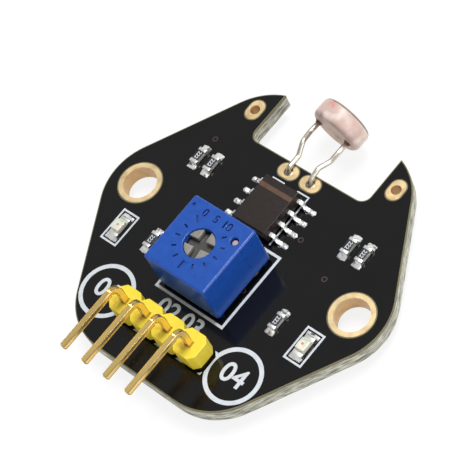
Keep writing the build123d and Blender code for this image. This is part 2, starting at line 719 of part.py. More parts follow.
def sensor_face():
    """Light-sensitive stripe and the metal either side of it, printed on the disc's front."""
    back, front = disc_levels()
    place = sensor_plane() * Pos(0, 0, front)
    face = Circle(SENSOR_DIAMETER / 2 - SENSOR_WALL)
    stripe = serpentine() & face
    return place * extrude(stripe, LAYER_THICKNESS), place * extrude(face - stripe, LAYER_THICKNESS)


def sensor_coat():
    """Moulded resin around the disc, with a rounded edge and two lead holes in its back."""
    outer = disc(SENSOR_DIAMETER, SENSOR_THICKNESS, -SENSOR_THICKNESS / 2)
    outer = fillet(outer.edges().filter_by(GeomType.CIRCLE), SENSOR_EDGE_RADIUS)
    back, front = disc_levels()
    coat = outer - disc(SENSOR_DIAMETER - 2 * SENSOR_WALL, front - back + LAYER_THICKNESS, back)
    for side in (-1, 1):
        exit_place = Pos(side * SENSOR_LEAD_SPACING / 2, -SENSOR_LEAD_RISE, -SENSOR_THICKNESS / 2)
        hole = Cylinder(SENSOR_LEAD_DIAMETER / 2, SENSOR_WALL, align=ON_FLOOR)
        coat -= sensor_plane() * exit_place * hole
    return coat


def sensor_lead(side, rises):
    """Round wire: up through the board, bent over the notch, then wavy to the back of the disc."""
    sensor_y = NOTCH_FLOOR_Y - SENSOR_SETBACK
    hole_x = side * SENSOR_PITCH / 2
    exit_x = side * SENSOR_LEAD_SPACING / 2
    back = disc_levels()[0]
    end = (sensor_plane() * Pos(exit_x, -SENSOR_LEAD_RISE, back)).position
    straight = back - SENSOR_WALL - SENSOR_LEAD_STRAIGHT
    approach = (sensor_plane() * Pos(exit_x, -SENSOR_LEAD_RISE, straight)).position
    span = approach.Y - sensor_y
    points = [(hole_x, sensor_y, -TAIL_LENGTH), (hole_x, sensor_y, BOARD_TOP + rises[0])]
    for place, spread, rise in zip(WAVE_PLACES, WAVE_SPREADS, rises[1:]):
        x = hole_x + (exit_x - hole_x) * spread
        points.append((x, sensor_y + span * place, BOARD_TOP + rise))
    points += [approach, end]
    radii = [SENSOR_LEAD_BEND] + [SENSOR_WAVE_RADIUS] * (len(WAVE_PLACES) + 1)
    path = FilletPolyline(*points, radius=radii)
    return sweep(Plane(points[0]) * Circle(SENSOR_LEAD_DIAMETER / 2), path)


def sensor_solder():
    """Solder of the photoresistor's leads, one solid each."""
    places, drill, pad_x, pad_y = hole_kinds()["sensor"]
    joints = []
    for x, y in places:
        cone = solder_cone(x, y, pad_y, SENSOR_LEAD_DIAMETER)
        joints.append(cone - post(SENSOR_LEAD_DIAMETER, TAIL_LENGTH, x, y, -TAIL_LENGTH))
    return Compound(children=joints)


def board_nodes():
    """Laminate, mask, print, lands, linings and vias."""
    mounting_left, mounting_right = plated_holes("mounting")
    prong_left, prong_right = plated_holes("prong")
    sensor_left, sensor_right = plated_holes("sensor")
    return {
        "circuit_board": circuit_board(),
        "solder_mask_top": solder_mask(BOARD_TOP, True),
        "solder_mask_bottom": solder_mask(-LAYER_THICKNESS, False),
        "silkscreen": silkscreen(),
        "chip_lands": chip_lands(),
        "mounting_hole_left": mounting_left,
        "mounting_hole_right": mounting_right,
        "prong_hole_left": prong_left,
        "prong_hole_right": prong_right,
        "sensor_hole_left": sensor_left,
        "sensor_hole_right": sensor_right,
        "header_holes": Compound(children=plated_holes("header")),
        "trimmer_holes": Compound(children=plated_holes("trimmer")),
        "vias": vias(),
    }


def header_nodes():
    """Header housing, its pins and their solder."""
    nodes = {"header_housing": header_housing(), "header_solder": header_solder()}
    for number, (x, y) in enumerate(header_places(), 1):
        nodes[f"header_pin_{number}"] = header_pin(x, y)
    return nodes


def trimmer_nodes():
    """Trimmer, from its housing to its solder."""
    left, right, middle = trimmer_terminals()
    return {
        "trimmer_housing": trimmer_housing(),
        "trimmer_rotor": trimmer_rotor(),
        "trimmer_seal": trimmer_seal(),
        "trimmer_wiper": trimmer_wiper(),
        "trimmer_element": trimmer_element(),
        "trimmer_terminal_left": left,
        "trimmer_terminal_right": right,
        "trimmer_terminal_middle": middle,
        "trimmer_solder": trimmer_solder(),
    }


def chip_nodes():
    """Comparator, resistors and lamps, with the solder that holds them."""
    nodes = {"comparator_body": comparator_body(), "chip_solder": chip_solder()}
    for number, lead in enumerate(comparator_leads(), 1):
        nodes[f"comparator_lead_{number}"] = lead
    resistor_caps = []
    for number, (x, y) in enumerate(RESISTOR_PLACES, 1):
        core = chip_core(x, y, SMALL_LENGTH, SMALL_WIDTH, RESISTOR_HEIGHT)
        nodes[f"resistor_{number}"] = core
        resistor_caps += end_caps(x, y, SMALL_LENGTH, SMALL_WIDTH, RESISTOR_HEIGHT, core)
    nodes["resistor_end_caps"] = Compound(children=resistor_caps)
    for name, (x, y) in zip(("left", "right"), lamp_places()):
        base = lamp_base(x, y)
        caps = end_caps(x, y, LAMP_LENGTH, LAMP_WIDTH, LAMP_BASE_HEIGHT, base)
        nodes[f"lamp_base_{name}"] = base
        nodes[f"lamp_lens_{name}"] = lamp_lens(x, y)
        nodes[f"lamp_end_caps_{name}"] = Compound(children=caps)
    return nodes


def sensor_nodes():
    """Photoresistor, its leads and their solder."""
    stripe, electrodes = sensor_face()
    return {
        "sensor_coat": sensor_coat(),
        "sensor_disc": sensor_disc(),
        "sensor_stripe": stripe,
        "sensor_electrodes": electrodes,
        "sensor_lead_left": sensor_lead(-1, LEFT_LEAD_RISES),
        "sensor_lead_right": sensor_lead(1, RIGHT_LEAD_RISES),
        "sensor_solder": sensor_solder(),
    }


os.makedirs("parts", exist_ok=True)
for group in (board_nodes, header_nodes, trimmer_nodes, chip_nodes, sensor_nodes):
    for name, shape in group().items():
        export_step(shape, f"parts/{name}.step")
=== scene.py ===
import json
from math import cos, pi, radians, sin

import bmesh
import bpy
from mathutils import Matrix, Vector, noise

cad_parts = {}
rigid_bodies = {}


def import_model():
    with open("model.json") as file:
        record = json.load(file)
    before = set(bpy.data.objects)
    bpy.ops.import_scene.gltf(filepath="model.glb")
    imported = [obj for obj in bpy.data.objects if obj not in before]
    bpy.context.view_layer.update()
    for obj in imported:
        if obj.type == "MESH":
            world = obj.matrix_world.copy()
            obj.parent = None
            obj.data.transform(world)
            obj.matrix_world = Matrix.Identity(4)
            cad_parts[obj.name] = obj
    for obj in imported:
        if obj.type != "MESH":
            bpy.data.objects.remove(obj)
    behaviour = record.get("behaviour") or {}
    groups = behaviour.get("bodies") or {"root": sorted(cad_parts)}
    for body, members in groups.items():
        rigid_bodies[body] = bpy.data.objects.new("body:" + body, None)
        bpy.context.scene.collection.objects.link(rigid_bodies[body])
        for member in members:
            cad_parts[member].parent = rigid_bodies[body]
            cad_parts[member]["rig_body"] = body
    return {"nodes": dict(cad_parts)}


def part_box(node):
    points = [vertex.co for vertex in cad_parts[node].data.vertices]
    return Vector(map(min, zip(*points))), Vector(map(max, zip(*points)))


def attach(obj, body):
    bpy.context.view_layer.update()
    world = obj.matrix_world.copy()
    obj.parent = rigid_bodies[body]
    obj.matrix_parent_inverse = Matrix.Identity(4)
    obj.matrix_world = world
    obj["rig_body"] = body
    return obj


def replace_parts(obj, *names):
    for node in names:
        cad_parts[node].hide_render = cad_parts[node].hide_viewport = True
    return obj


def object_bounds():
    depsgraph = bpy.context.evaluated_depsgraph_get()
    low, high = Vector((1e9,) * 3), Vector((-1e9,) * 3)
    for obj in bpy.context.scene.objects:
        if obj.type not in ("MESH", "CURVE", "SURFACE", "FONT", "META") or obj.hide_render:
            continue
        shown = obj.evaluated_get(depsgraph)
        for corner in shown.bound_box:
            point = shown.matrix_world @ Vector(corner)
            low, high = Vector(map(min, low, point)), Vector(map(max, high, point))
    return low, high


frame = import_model()


# View
# The board is seen from its header end, from the right and from above, a little turned in the
# frame. The camera stands about 16 cm away and looks through a long lens.
MM = 0.001
LENS_MM = 142.37
CAMERA_PLACE = Vector((83.4755, -36.5916, 133.614)) * MM
CAMERA_TARGET = Vector((-1.9996, 0.9182, 0)) * MM
CAMERA_ROLL = radians(-29.9446)

for start_up in ("Cube", "Light", "Camera"):
    if start_up in bpy.data.objects:
        bpy.data.objects.remove(bpy.data.objects[start_up])
cad_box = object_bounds()

camera_data = bpy.data.cameras.new("camera")
camera_data.lens = LENS_MM
camera_data.clip_start = MM
camera = bpy.data.objects.new("camera", camera_data)
aim = (CAMERA_TARGET - CAMERA_PLACE).to_track_quat("-Z", "Y").to_matrix()
rolled = (aim @ Matrix.Rotation(CAMERA_ROLL, 3, "Z")).to_4x4()
camera.matrix_world = Matrix.Translation(CAMERA_PLACE) @ rolled
bpy.context.scene.collection.objects.link(camera)
bpy.context.scene.camera = camera
bpy.context.scene.view_settings.view_transform = "Standard"


# Table and light
# The board stands on its soldered tails on a white table, which keeps a faint shadow. A large soft
# lamp stands over the sensor's end, a weaker one at the right, and a pale dome fills in the rest.
# The table's size and the lamps' places are in metres.
TABLE_SIZE = 6.0
TABLE_GAP = 0.05
TABLE_WHITE = 0.96
TABLE_GLOW = 0.85
DOME_STOPS = ((0.0, 0.9), (0.35, 0.5), (1.0, 0.34))
DOME_BLUE = 1.01


def srgb(red, green, blue):
    """Linear colour of a screen colour that is given from 0 to 255."""
    channels = [channel / 255 for channel in (red, green, blue)]
    return tuple(((c + 0.055) / 1.055) ** 2.4 if c > 0.04 else c / 12.92 for c in channels) + (1.0,)


def node_material(name):
    """New material, its node tree and its main shader."""
    material = bpy.data.materials.new(name)
    material.use_nodes = True
    return material, material.node_tree, material.node_tree.nodes["Principled BSDF"]


def combine(tree, operation, first, second):
    """Result of one sum on two levels, of which the second may be a plain number."""
    node = tree.nodes.new("ShaderNodeMath")
    node.operation = operation
    tree.links.new(first, node.inputs[0])
    if isinstance(second, float):
        node.inputs[1].default_value = second
    else:
        tree.links.new(second, node.inputs[1])
    return node.outputs[0]


def table_top():
    """White table: part of its white is its own, so that the board's shadow on it stays faint."""
    material, tree, shader = node_material("table_white")
    shader.inputs["Base Color"].default_value = (TABLE_WHITE, TABLE_WHITE, TABLE_WHITE, 1.0)
    shader.inputs["Roughness"].default_value = 0.9
    shader.inputs["Specular IOR Level"].default_value = 0.0
    glow = tree.nodes.new("ShaderNodeEmission")
    rays = tree.nodes.new("ShaderNodeLightPath").outputs
    seen = combine(tree, "MAXIMUM", rays["Is Camera Ray"], rays["Is Glossy Ray"])
    seen = combine(tree, "MAXIMUM", seen, rays["Is Transmission Ray"])
    blend = tree.nodes.new("ShaderNodeMixShader")
    tree.links.new(combine(tree, "MULTIPLY", seen, TABLE_GLOW), blend.inputs["Fac"])
    tree.links.new(shader.outputs[0], blend.inputs[1])
    tree.links.new(glow.outputs[0], blend.inputs[2])
    tree.links.new(blend.outputs[0], tree.nodes["Material Output"].inputs["Surface"])
    return material


def pale_dome():
    """World that is white at the table's edge and greyer overhead."""
    world = bpy.data.worlds.new("dome")
    world.use_nodes = True
    tree = world.node_tree
    sky = tree.nodes.new("ShaderNodeTexCoord")
    split = tree.nodes.new("ShaderNodeSeparateXYZ")
    ramp = tree.nodes.new("ShaderNodeValToRGB")
    stops = ramp.color_ramp.elements
    while len(stops) < len(DOME_STOPS):
        stops.new(0.5)
    for stop, (height, grey) in zip(stops, DOME_STOPS):
        stop.position = height
        stop.color = (grey, grey, grey * DOME_BLUE, 1.0)
    tree.links.new(sky.outputs["Generated"], split.inputs[0])
    tree.links.new(split.outputs["Z"], ramp.inputs["Fac"])
    tree.links.new(ramp.outputs["Color"], tree.nodes["Background"].inputs["Color"])
    bpy.context.scene.world = world


def soft_lamp(name, place, size, watts):
    """Square lamp that looks at the middle of the board."""
    lamp_data = bpy.data.lights.new(name, "AREA")
    lamp_data.size = size
    lamp_data.energy = watts
    lamp = bpy.data.objects.new(name, lamp_data)
    turn = (-Vector(place)).to_track_quat("-Z", "Y").to_matrix().to_4x4()
    lamp.matrix_world = Matrix.Translation(place) @ turn
    bpy.context.scene.collection.objects.link(lamp)


half = TABLE_SIZE / 2
table_z = cad_box[0][2] - TABLE_GAP * MM
corners = [(x * half, y * half, table_z) for x, y in ((-1, -1), (1, -1), (1, 1), (-1, 1))]
table_mesh = bpy.data.meshes.new("table")
table_mesh.from_pydata(corners, [], [(0, 1, 2, 3)])
table_mesh.materials.append(table_top())
table = bpy.data.objects.new("table", table_mesh)
bpy.context.scene.collection.objects.link(table)
pale_dome()
soft_lamp("key", place=(0.02, 0.18, 0.50), size=0.22, watts=2.5)
soft_lamp("fill", place=(0.40, 0.08, 0.20), size=0.20, watts=0.55)


# Circuit board
# The laminate is woven glass in epoxy, cut with a router. Its cut edge shows the pressed plies as
# level streaks, grey-green, and just under the top face it is painted darker and more olive, as
# painted shade under the black mask.
# The Mix node's sockets for a share and for colours go by these numbers.
MIX_SHARE = 0
MIX_FIRST = 6
MIX_SECOND = 7
MIX_OUT = 2
FINE_DETAIL = 4.0
SOFT_DETAIL = 2.0


def object_place(tree):
    """Place of a spot on the piece, in the piece's own frame."""
    return tree.nodes.new("ShaderNodeTexCoord").outputs["Object"]


def mottle(tree, place, grain, detail):
    """Noise in space, with about so many grains in a millimetre."""
    node = tree.nodes.new("ShaderNodeTexNoise")
    node.inputs["Scale"].default_value = grain / MM
    node.inputs["Detail"].default_value = detail
    tree.links.new(place, node.inputs["Vector"])
    return node.outputs["Fac"]


def fade(tree, source, low, high, bottom=0.0, top=1.0):
    """Level that runs from bottom to top while a source runs from low to high."""
    node = tree.nodes.new("ShaderNodeMapRange")
    for socket, value in (("From Min", low), ("From Max", high), ("To Min", bottom), ("To Max", top)):
        node.inputs[socket].default_value = value
    tree.links.new(source, node.inputs["Value"])
    return node.outputs[0]


def mixer(tree, share, colour):
    """Mixes a colour into the finish by a share, and returns the socket of the colour under it."""
    node = tree.nodes.new("ShaderNodeMix")
    node.data_type = "RGBA"
    node.inputs[MIX_SECOND].default_value = srgb(*colour)
    tree.links.new(share, node.inputs[MIX_SHARE])
    tree.links.new(node.outputs[MIX_OUT], tree.nodes["Principled BSDF"].inputs["Base Color"])
    return node.inputs[MIX_FIRST]


def lay_over(tree, share, colour):
    """Lays a second colour over a finish, as far as a share says."""
    below = tree.nodes["Principled BSDF"].inputs["Base Color"].links[0].from_socket
    tree.links.new(below, mixer(tree, share, colour))


def surface(name, colour, shade, grain, roughness, rough_spread=0.05, bump=0.0,
            stretch=(1, 1, 1), contrast=1.5, **sockets):
    """Finish that varies between a colour and its darker shade, with its gloss and its relief."""
    material, tree, shader = node_material(name)
    stretched = tree.nodes.new("ShaderNodeMapping")
    stretched.inputs["Scale"].default_value = stretch
    tree.links.new(object_place(tree), stretched.inputs["Vector"])
    speckle = mottle(tree, stretched.outputs["Vector"], grain, FINE_DETAIL)
    tone = fade(tree, speckle, 0.5 - 0.5 / contrast, 0.5 + 0.5 / contrast)
    mixer(tree, tone, colour).default_value = srgb(*[channel * shade for channel in colour])
    gloss = fade(tree, tone, 0.0, 1.0, roughness - rough_spread, roughness + rough_spread)
    tree.links.new(gloss, shader.inputs["Roughness"])
    if bump:
        relief = tree.nodes.new("ShaderNodeBump")
        relief.inputs["Distance"].default_value = bump * MM
        tree.links.new(speckle, relief.inputs["Height"])
        tree.links.new(relief.outputs["Normal"], shader.inputs["Normal"])
    for socket, value in sockets.items():
        shader.inputs[socket.replace("_", " ")].default_value = value
    return material


def wash(material, colour, axis, none_at, full_at):
    """Lays a second colour over a finish, from nothing at one place on an axis to full at another."""
    tree = material.node_tree
    split = tree.nodes.new("ShaderNodeSeparateXYZ")
    tree.links.new(object_place(tree), split.inputs[0])
    lay_over(tree, fade(tree, split.outputs[axis], none_at * MM, full_at * MM), colour)


def blotch(material, colour, grain, none_at, full_at):
    """Lays a second colour over a finish in soft patches, where a noise rises between two levels."""
    tree = material.node_tree
    patches = mottle(tree, object_place(tree), grain, SOFT_DETAIL)
    lay_over(tree, fade(tree, patches, none_at, full_at), colour)


def dress(node, material):
    """Gives a CAD piece its finish."""
    for slot in frame["nodes"][node].material_slots:
        slot.material = material


board_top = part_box("circuit_board")[1].z / MM
laminate = surface("laminate", (202, 201, 184), shade=0.5, grain=1.2, roughness=0.75, bump=0.03,
                   stretch=(0.8, 0.8, 6.5), contrast=4.0)
# Painted shade: the cut edge is darkened to olive just under the top face, below the black mask.
wash(laminate, (112, 106, 78), "Z", none_at=board_top - 0.3, full_at=board_top - 0.16)
dress("circuit_board", laminate)


# Solder mask
# A glossy black lacquer lies on both faces, open around every pad. It is flooded on wet and cured,
# so it mirrors what stands on the board, a little softly.
mask_black = surface("solder_mask", (8, 8, 8), shade=0.8, grain=0.4, roughness=0.13,
                     rough_spread=0.03, bump=0.001)
dress("solder_mask_top", mask_black)
dress("solder_mask_bottom", mask_black)


# Plated holes and vias
# Copper is plated through the drilled holes and round them on both faces, and then gold flashed,
# which leaves it matt. Down in the holes it is painted darker and browner, as painted shade, and
# much darker in the small holes. The vias' copper stays brown.
gold = surface("gold_plating", (232, 206, 156), shade=0.88, grain=1.4, roughness=0.4,
               rough_spread=0.06, bump=0.002, contrast=2.0, Metallic=0.45)
# Painted shade: the gold darkens and browns down the hole.
wash(gold, (212, 174, 122), "Z", none_at=board_top - 0.02, full_at=board_top - 0.2)
blotch(gold, (188, 142, 88), grain=1.1, none_at=0.5, full_at=0.9)
gold_small = surface("gold_small_hole", (232, 204, 152), shade=0.88, grain=1.4, roughness=0.4,
                     rough_spread=0.06, bump=0.002, contrast=2.0, Metallic=0.45)
# Painted shade: in the small holes the gold is painted much darker down the hole.
wash(gold_small, (150, 100, 56), "Z", none_at=board_top - 0.02, full_at=board_top - 0.1)
for node in frame["nodes"]:
    if "_hole" in node:
        dress(node, gold if "mounting" in node or "prong" in node else gold_small)
dress("vias", surface("via_copper", (96, 70, 64), shade=0.8, grain=3.0, roughness=0.4))


# Print on the board
# White ink is screened on the mask: frames round the parts, rings round the numbers of the header's
# outer two pins, and the numbers of the two between them. The ink is a little uneven.
LABEL_X = 7.55
LABEL_Y = -9.81
LABEL_SIZE = 2.5
NOTE_LEFT_X = -1.5
NOTE_RIGHT_X = 1.3
NOTE_Y = -8.25
NOTE_SIZE = 2.3
STROKE_SPREAD = 0.018


def characters(words, size, thickness, place, turn=0):
    """Mesh of flat characters, centred on their place."""
    curve = bpy.data.curves.new("characters", "FONT")
    curve.body = words
    curve.size = size * MM
    curve.align_x = "CENTER"
    curve.align_y = "CENTER"
    curve.extrude = thickness * MM / 2
    curve.offset = size * STROKE_SPREAD * MM
    draft = bpy.data.objects.new("characters", curve)
    bpy.context.scene.collection.objects.link(draft)
    bpy.context.view_layer.update()
    shown = draft.evaluated_get(bpy.context.evaluated_depsgraph_get())
    mesh = bpy.data.meshes.new_from_object(shown)
    bpy.data.objects.remove(draft)
    mesh.transform(Matrix.Translation(Vector(place) * MM) @ Matrix.Rotation(radians(turn), 4, "Z"))
    return mesh


def add_piece(name, mesh, material, body="board"):
    """New piece that moves with a body and takes one finish."""
    mesh.materials.clear()
    mesh.materials.append(material)
    piece = bpy.data.objects.new(name, mesh)
    bpy.context.scene.collection.objects.link(piece)
    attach(piece, body)
    return piece


ink = surface("marking_ink", (206, 212, 218), shade=0.9, grain=2.0, roughness=0.55, bump=0.002)
dress("silkscreen", ink)
ink_low, ink_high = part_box("silkscreen")
ink_thickness = (ink_high.z - ink_low.z) / MM
ink_z = (ink_high.z + ink_low.z) / 2 / MM
for name, words, size, x, y in (("label_left", "01", LABEL_SIZE, -LABEL_X, LABEL_Y),
                                ("label_right", "04", LABEL_SIZE, LABEL_X, LABEL_Y),
                                ("note_left", "02", NOTE_SIZE, NOTE_LEFT_X, NOTE_Y),
                                ("note_right", "03", NOTE_SIZE, NOTE_RIGHT_X, NOTE_Y)):
    add_piece(name, characters(words, size, ink_thickness, (x, y, ink_z)), ink)


# Header housing
# The four yellow segments are moulded in one strip of glass-filled nylon, with square holes that
# grip the pins. Its edges are hardly rounded. An amber patch is painted beside each pin, a painted
# reflection and shade of the gold pin.
HEADER_PINS = range(1, 5)
PIN_REFLECTION_ASIDE = 0.35
PIN_REFLECTION_Y = -10.5
STAIN_AND_REFLECTION_GRAIN = 2.2
STAIN_AND_REFLECTION_GAPS = (0.35, 0.6)
MERGE = MM / 10000
NEARLY_FLAT = 0.02
BEVEL_STEPS = 3


def finished(form, name, smooth_to=None):
    """Mesh of a form under construction, smooth up to an angle if one is given."""
    mesh = bpy.data.meshes.new(name)
    form.to_mesh(mesh)
    form.free()
    if smooth_to:
        mesh.shade_smooth()
        mesh.set_sharp_from_angle(angle=radians(smooth_to))
    return mesh


def soften(node, material, width, sharp=30):
    """Copy of a CAD piece with rounded edges, which is shown in its place."""
    source = frame["nodes"][node]
    form = bmesh.new()
    form.from_mesh(source.data)
    bmesh.ops.remove_doubles(form, verts=form.verts, dist=MERGE)
    if width:
        bmesh.ops.dissolve_limit(form, angle_limit=NEARLY_FLAT, verts=form.verts, edges=form.edges)
        edges = [edge for edge in form.edges if edge.calc_face_angle(0) > radians(sharp)]
        bmesh.ops.bevel(form, geom=edges, offset=width * MM, segments=BEVEL_STEPS, profile=0.5,
                        affect="EDGES")
    mesh = finished(form, node + "_soft", smooth_to=50)
    piece = add_piece(node + "_soft", mesh, material, source["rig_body"])
    even = piece.modifiers.new("even", "WEIGHTED_NORMAL")
    even.keep_sharp = True
    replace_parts(piece, node)
    return piece


def stain_and_reflection(material, colour, place, reach, strength):
    """Lays an uneven round patch of colour over a finish, strongest over the inner quarter of its reach:
    a real stain on the photoresistor, a painted reflection and shade of a pin on the header.
    """
    tree = material.node_tree
    spot = object_place(tree)
    away = tree.nodes.new("ShaderNodeVectorMath")
    away.operation = "DISTANCE"
    away.inputs[1].default_value = Vector(place) * MM
    tree.links.new(spot, away.inputs[0])
    near = fade(tree, away.outputs["Value"], reach * MM, reach * MM / 4, top=strength)
    uneven = fade(tree, mottle(tree, spot, STAIN_AND_REFLECTION_GRAIN, SOFT_DETAIL), *STAIN_AND_REFLECTION_GAPS)
    lay_over(tree, combine(tree, "MULTIPLY", near, uneven), colour)


header_yellow = surface("header_plastic", (237, 213, 60), shade=0.93, grain=1.6, roughness=0.34,
                        bump=0.002)
header_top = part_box("header_housing")[1].z / MM
# Painted reflection and shade: an amber patch on the yellow beside each gold pin.
for number in HEADER_PINS:
    pin_low, pin_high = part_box(f"header_pin_{number}")
    pin_x = (pin_low.x + pin_high.x) / 2 / MM
    pin_reflection_spot = (pin_x - PIN_REFLECTION_ASIDE, PIN_REFLECTION_Y, header_top)
    stain_and_reflection(header_yellow, (184, 132, 28), pin_reflection_spot, reach=0.85, strength=0.7)
soften("header_housing", header_yellow, width=0.07)


# Header pins
# Each pin is square brass wire, gold flashed, drawn lengthways, and bent over a right angle after
# it was pressed into the housing. Above the housing it is slimmer than its CAD solid.
SLIM_DEPTH = 0.09
SLIM_RUN = 0.12


def slim(piece, depth, start, run):
    """Draws a piece in on all sides above a height, over a short run."""
    form = bmesh.new()
    form.from_mesh(piece.data)
    for height in (start, start + run):
        everything = form.verts[:] + form.edges[:] + form.faces[:]
        level = (0, 0, height * MM)
        bmesh.ops.bisect_plane(form, geom=everything, plane_co=level, plane_no=(0, 0, 1))
    form.normal_update()
    moves = []
    for point in form.verts:
        share = min(1.0, max(0.0, (point.co.z / MM - start) / run))
        moves.append(point.normal * point.calc_shell_factor() * depth * share * MM)
    for point, move in zip(form.verts, moves):
        point.co -= move
    form.to_mesh(piece.data)
    form.free()


pin_gold = surface("gold_pin", (250, 218, 140), shade=0.9, grain=1.2, roughness=0.24,
                   rough_spread=0.02, stretch=(1, 0.1, 1), Metallic=0.85)
for number in HEADER_PINS:
    pin = soften(f"header_pin_{number}", pin_gold, width=0.03)
    slim(pin, SLIM_DEPTH, header_top, SLIM_RUN)


# Trimmer housing
# The blue box is moulded in glass-filled polyester. Its scale and figures stand sunk in the top
# round the shaft, with their sunk faces painted a darker blue as painted shade, and a small hole
# near one corner shows the end of a terminal.
TICKS = 11
TICK_STEP = 27.0
TICK_FIRST = 135.0
TICK_INNER = 1.98
TICK_SHORT = 0.46
TICK_LONG = 0.78
TICK_WIDTH = 0.17
MARK_DEPTH = 0.12
FIGURES = (("0", -1.45), ("5", -0.2), ("10", 1.05))
FIGURE_Y = 2.5
FIGURE_SIZE = 1.05
CORNER_MARK = (-2.9, 2.66)
CORNER_MARK_SIZE = 0.3
FLAT = 0.99999

box_low, box_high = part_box("trimmer_housing")
trimmer_x, trimmer_y = ((box_low + box_high) / 2 / MM)[:2]
trimmer_top = box_high.z / MM


def bar(form, length, width, height, matrix):
    """Adds a rectangular bar to a mesh under construction."""
    size = Matrix.Diagonal((length * MM, width * MM, height * MM, 1.0))
    bmesh.ops.create_cube(form, size=1.0, matrix=matrix @ size)


def dial_marks():
    """Everything that is sunk in the trimmer's top: the ticks, the figures and a corner mark."""
    form = bmesh.new()
    middle = Matrix.Translation(Vector((trimmer_x, trimmer_y, trimmer_top)) * MM)
    for index in range(TICKS):
        length = TICK_LONG if index in (0, TICKS // 2) else TICK_SHORT
        turn = Matrix.Rotation(radians(TICK_FIRST + TICK_STEP * index), 4, "Z")
        out = Matrix.Translation(((TICK_INNER + length / 2) * MM, 0, 0))
        bar(form, length, TICK_WIDTH, 2 * MARK_DEPTH, middle @ turn @ out)
    corner = Matrix.Translation(Vector((*CORNER_MARK, 0)) * MM)
    turn = Matrix.Rotation(radians(45), 4, "Z")
    bar(form, CORNER_MARK_SIZE, CORNER_MARK_SIZE, 2 * MARK_DEPTH, middle @ corner @ turn)
    for figure, x in FIGURES:
        place = (trimmer_x + x, trimmer_y + FIGURE_Y, trimmer_top)
        form.from_mesh(characters(figure, FIGURE_SIZE, 2 * MARK_DEPTH, place))
    bmesh.ops.remove_doubles(form, verts=form.verts, dist=MERGE)
    bmesh.ops.recalc_face_normals(form, faces=form.faces)
    return form


def sink(piece, form, material):
    """Sinks marks into a piece, and gives the cut faces their own finish, a darker painted shade. The
    cut is made in millimetres, which keeps the small marks true.
    """
    mesh = finished(form, "marks")
    mesh.materials.append(material)
    mesh.transform(Matrix.Scale(1 / MM, 4))
    piece.data.transform(Matrix.Scale(1 / MM, 4))
    marks = bpy.data.objects.new("marks", mesh)
    bpy.context.scene.collection.objects.link(marks)
    piece.modifiers["even"].show_viewport = False
    cutter = piece.modifiers.new("cut", "BOOLEAN")
    cutter.operation = "DIFFERENCE"
    cutter.solver = "EXACT"
    cutter.material_mode = "TRANSFER"
    cutter.object = marks
    bpy.context.view_layer.update()
    shown = piece.evaluated_get(bpy.context.evaluated_depsgraph_get())
    sunk = bpy.data.meshes.new_from_object(shown)
    piece.modifiers.remove(cutter)
    bpy.data.objects.remove(marks)
    sunk.transform(Matrix.Scale(MM, 4))
    for face in sunk.polygons:
        face.use_smooth = max(abs(part) for part in face.normal) < FLAT
    sunk.set_sharp_from_angle(angle=radians(35))
    piece.data = sunk
    piece.modifiers["even"].show_viewport = True


trimmer_blue = surface("trimmer_plastic", (19, 75, 166), shade=0.9, grain=1.5, roughness=0.3,
                       bump=0.003)
# Painted shade: the faces of the sunk marks take a darker blue.
dial_painted_shade = surface("dial_painted_shade", (16, 52, 124), shade=0.85, grain=1.5, roughness=0.4, bump=0.003)
sink(soften("trimmer_housing", trimmer_blue, width=0.07), dial_marks(), dial_painted_shade)


# Trimmer rotor
# The shaft is turned with a screwdriver in its cross slot. It is moulded in a warm grey plastic,
# and its head stands a little below the box's top.
rotor_grey = surface("rotor_plastic", (140, 137, 130), shade=0.84, grain=2.5, roughness=0.42,
                     bump=0.004)
rotor_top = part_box("trimmer_rotor")[1].z / MM
# Painted shade: the grey turns nearly black from just under the head downwards, into the slot and round
# the shaft.
wash(rotor_grey, (44, 43, 40), "Z", none_at=rotor_top - 0.1, full_at=rotor_top - 0.7)
soften("trimmer_rotor", rotor_grey, width=0.05)


# Inside the trimmer
# A rubber ring seals the shaft. Below it a sprung wiper, pressed on the rotor, slides on the
# resistive track, which is printed on a ceramic base that holds the three terminals.
seal_rubber = surface("seal_rubber", (26, 25, 25), shade=0.8, grain=3.0, roughness=0.7, bump=0.01)
spring_metal = surface("spring_metal", (206, 190, 150), shade=0.9, grain=2.0, roughness=0.25,
                       Metallic=1.0)
element_white = surface("element_ceramic", (222, 218, 208), shade=0.92, grain=2.0, roughness=0.6,
                        bump=0.01)
dull_tin = surface("terminal_tin", (214, 190, 184), shade=0.8, grain=3.0, roughness=0.4, bump=0.004,
                   Metallic=0.6)
dress("trimmer_seal", seal_rubber)
dress("trimmer_wiper", spring_metal)
dress("trimmer_element", element_white)
for side in ("left", "right", "middle"):
    dress(f"trimmer_terminal_{side}", dull_tin)


# Comparator
# The eight-lead chip is moulded in dark epoxy, with sloping sides that let it out of the mould. A
# brown band is printed across its top at the end where lead one is.
BAND_Y = (5.08, 5.53)
BAND_MARGIN = 0.12
BAND_THICKNESS = 0.012
chip_brown = surface("chip_plastic", (36, 27, 22), shade=0.82, grain=5.0, roughness=0.38,
                     rough_spread=0.08, bump=0.003, Specular_IOR_Level=0.35)
soften("comparator_body", chip_brown, width=0.05, sharp=10)

band_brown = surface("chip_band", (90, 58, 36), shade=0.8, grain=4.0, roughness=0.5, bump=0.003,
                     contrast=2.5)
chip_low, chip_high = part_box("comparator_body")
band_length = (chip_high.x - chip_low.x) / MM - 2 * BAND_MARGIN
band_middle = Vector((0, sum(BAND_Y) / 2, chip_high.z / MM)) * MM
band_form = bmesh.new()
bar(band_form, band_length, BAND_Y[1] - BAND_Y[0], BAND_THICKNESS, Matrix.Translation(band_middle))
add_piece("comparator_band", finished(band_form, "comparator_band"), band_brown)


